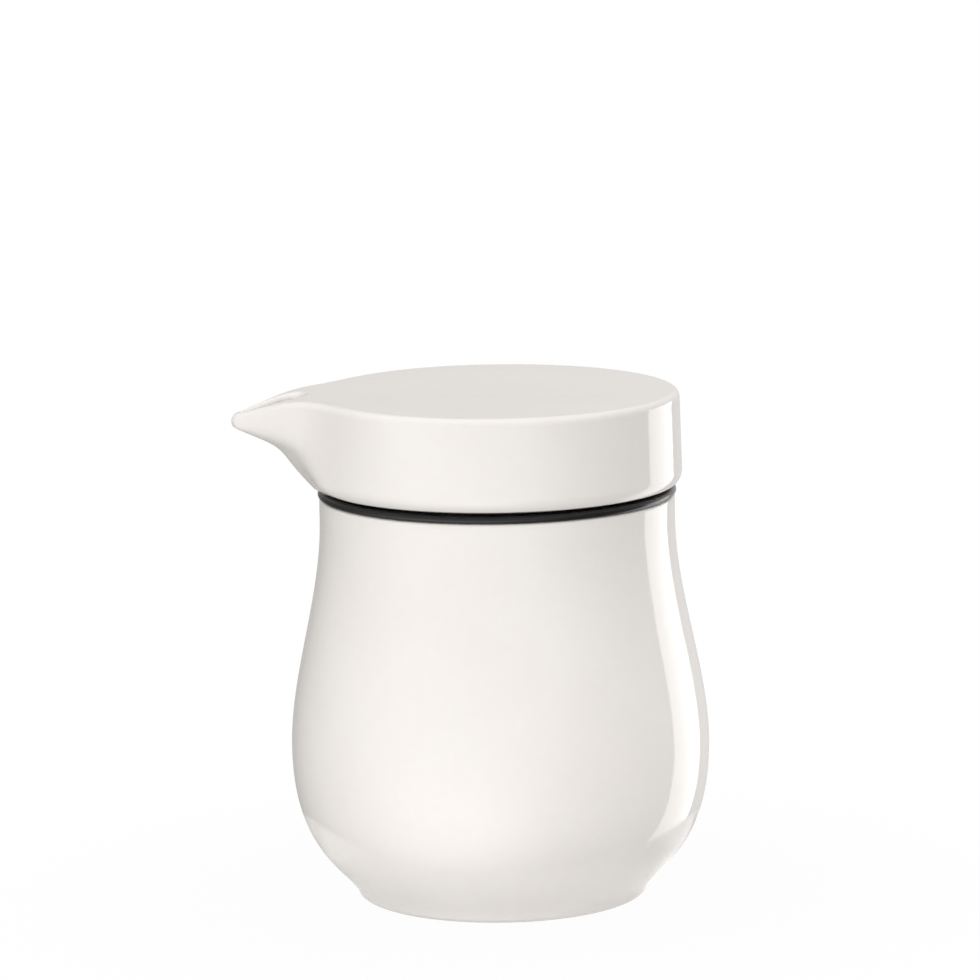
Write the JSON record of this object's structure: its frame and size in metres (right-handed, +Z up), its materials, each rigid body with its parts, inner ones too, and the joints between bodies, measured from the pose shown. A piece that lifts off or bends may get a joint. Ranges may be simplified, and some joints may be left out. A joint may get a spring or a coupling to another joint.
{
  "type": "sauce jug",
  "caption": "Round porcelain sauce jug with a straight neck and a hollow pouring lid whose spout has an open channel; a black silicone ring seals the lid, which lifts off and turns.",
  "frame": {"origin": "on the jug's axis, at the plane of the foot's flat standing ring", "axes": "+Z up along the axis of the jug and lid; the spout points along -X at rest; +Y completes the right-handed frame and points away from the camera of the picture"},
  "size_m": [0.1075, 0.095, 0.1162],
  "materials": {
    "glazed_porcelain": "smooth clear gloss glaze over warm white porcelain, left bare on the standing ring of the foot",
    "black_silicone": "satin black food-grade silicone"
  },
  "bodies": {
    "jug": {"jug_body": "glazed_porcelain"},
    "seal": {"seal_ring": "black_silicone"},
    "lid": {"pouring_lid": "glazed_porcelain"}
  },
  "joints": [
    {"name": "lid_lift", "type": "slide", "parent": "jug", "child": "seal", "axis": [0, 0, 1], "range_m": [0, 0.045]},
    {"name": "lid_turn", "type": "hinge", "parent": "seal", "child": "lid", "pos_m": [0, 0, 0.09425], "axis": [0, 0, 1], "continuous": true}
  ]
}
